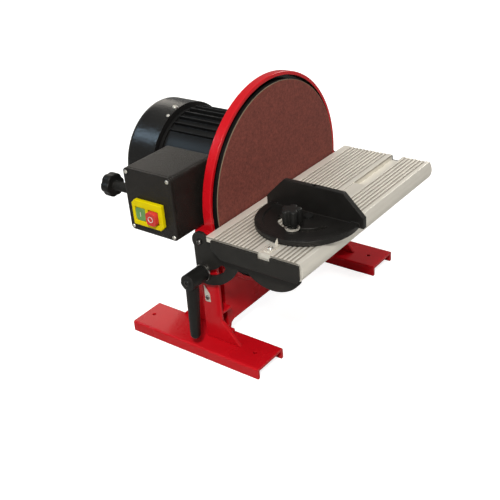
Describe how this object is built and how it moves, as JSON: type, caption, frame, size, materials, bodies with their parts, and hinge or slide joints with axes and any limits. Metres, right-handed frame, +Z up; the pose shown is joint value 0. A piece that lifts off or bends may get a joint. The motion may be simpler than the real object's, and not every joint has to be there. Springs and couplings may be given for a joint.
{
  "type": "benchtop disc sander",
  "caption": "Benchtop disc sander with a cast guard frame on channel feet, finned motor, large abrasive disc, tilting ribbed table, mitre gauge, disc brake and push-button switch.",
  "frame": {"origin": "centre of the four bench bolt holes in the feet, at the level of the bench", "axes": "+X along the table to the operator's right, +Y from the operator towards the motor, +Z up"},
  "size_m": [0.4378, 0.462, 0.386],
  "materials": {
    "red_paint": "gloss enamel on cast iron and bent sheet",
    "black_paint": "semi-gloss black enamel",
    "black_alloy": "cast alloy under semi-gloss black paint",
    "black_plastic": "fine-grained moulded black",
    "table_aluminium": "extruded and ribbed, satin",
    "black_steel": "blackened",
    "abrasive": "resin-bonded grit on cloth backing",
    "steel": "bright drawn",
    "core_steel": "stacked laminations",
    "zinc": "zinc plated",
    "copper": "enamelled copper wire",
    "can_aluminium": "drawn can",
    "brake_lining": "moulded friction lining",
    "yellow_plastic": "moulded",
    "green_plastic": "moulded",
    "red_plastic": "moulded"
  },
  "bodies": {
    "frame": {"main_frame": "red_paint", "left_foot": "red_paint", "right_foot": "red_paint", "foot_bolts": "steel", "motor_front_shield": "black_alloy", "motor_housing": "black_alloy", "motor_rear_shield": "black_alloy", "tie_bolts": "steel", "motor_bolts": "steel", "front_bearing": "steel", "rear_bearing": "steel", "stator_core": "core_steel", "stator_windings": "copper", "fan_cowl": "black_paint", "cowl_screws": "zinc", "switch_box": "black_plastic", "box_screws": "steel", "run_capacitor": "can_aluminium", "switch_cover": "black_plastic", "cover_screws": "zinc", "switch_body": "black_plastic", "switch_bezel": "yellow_plastic", "cable_gland": "black_plastic", "pivot_screws": "zinc", "clamp_studs": "steel", "clamp_washers": "zinc", "tilt_pointer": "zinc", "tilt_pointer_screw": "zinc", "brake_spring": "steel"},
    "spindle": {"motor_shaft": "steel", "rotor_core": "core_steel", "cooling_fan": "black_plastic", "disc_plate": "black_alloy", "disc_set_screws": "steel", "abrasive_disc": "abrasive"},
    "table": {"table": "table_aluminium", "left_bracket": "black_paint", "right_bracket": "black_paint", "table_screws": "zinc"},
    "left_lever": {"left_clamp_lever": "black_plastic", "left_lever_screw": "black_steel"},
    "right_lever": {"right_clamp_lever": "black_plastic", "right_lever_screw": "black_steel"},
    "mitre_bar": {"mitre_bar": "steel", "mitre_stud": "steel", "mitre_washer": "zinc", "mitre_pointer": "zinc", "mitre_pointer_screw": "zinc", "swivel_screw": "black_steel"},
    "mitre_head": {"mitre_head": "black_alloy"},
    "mitre_knob": {"mitre_knob": "black_plastic"},
    "start_button": {"start_button": "green_plastic"},
    "stop_button": {"stop_button": "red_plastic"},
    "brake": {"brake_rod": "black_steel", "brake_pad": "brake_lining", "brake_knob": "black_plastic"}
  },
  "joints": [
    {"name": "disc_spin", "type": "hinge", "parent": "frame", "child": "spindle", "pos_m": [0, 0, 0.222], "axis": [0, 1, 0], "continuous": true},
    {"name": "table_tilt", "type": "hinge", "parent": "frame", "child": "table", "pos_m": [0, -0.0245, 0.19], "axis": [1, 0, 0], "range_deg": [0, 45]},
    {"name": "left_lever_turn", "type": "hinge", "parent": "frame", "child": "left_lever", "pos_m": [-0.19, -0.0245, 0.139], "axis": [1, 0, 0], "range_deg": [-90, 90]},
    {"name": "right_lever_turn", "type": "hinge", "parent": "frame", "child": "right_lever", "pos_m": [0.19, -0.0245, 0.139], "axis": [1, 0, 0], "range_deg": [-90, 90]},
    {"name": "mitre_slide", "type": "slide", "parent": "table", "child": "mitre_bar", "axis": [1, 0, 0], "range_m": [-0.05, 0.2]},
    {"name": "mitre_swivel", "type": "hinge", "parent": "mitre_bar", "child": "mitre_head", "pos_m": [-0.078, -0.1485, 0.214], "axis": [0, 0, 1], "range_deg": [-60, 60]},
    {"name": "mitre_knob_turn", "type": "hinge", "parent": "mitre_bar", "child": "mitre_knob", "pos_m": [-0.118, -0.1485, 0.228], "axis": [0, 0, 1], "range_deg": [-180, 180]},
    {"name": "start_press", "type": "slide", "parent": "frame", "child": "start_button", "axis": [1, 0, 0], "range_m": [0, 0.003], "stiffness_N_per_m": 400},
    {"name": "stop_press", "type": "slide", "parent": "frame", "child": "stop_button", "axis": [1, 0, 0], "range_m": [0, 0.003], "stiffness_N_per_m": 400},
    {"name": "brake_push", "type": "slide", "parent": "frame", "child": "brake", "axis": [0, -1, 0], "range_m": [0, 0.0038], "stiffness_N_per_m": 2500}
  ]
}
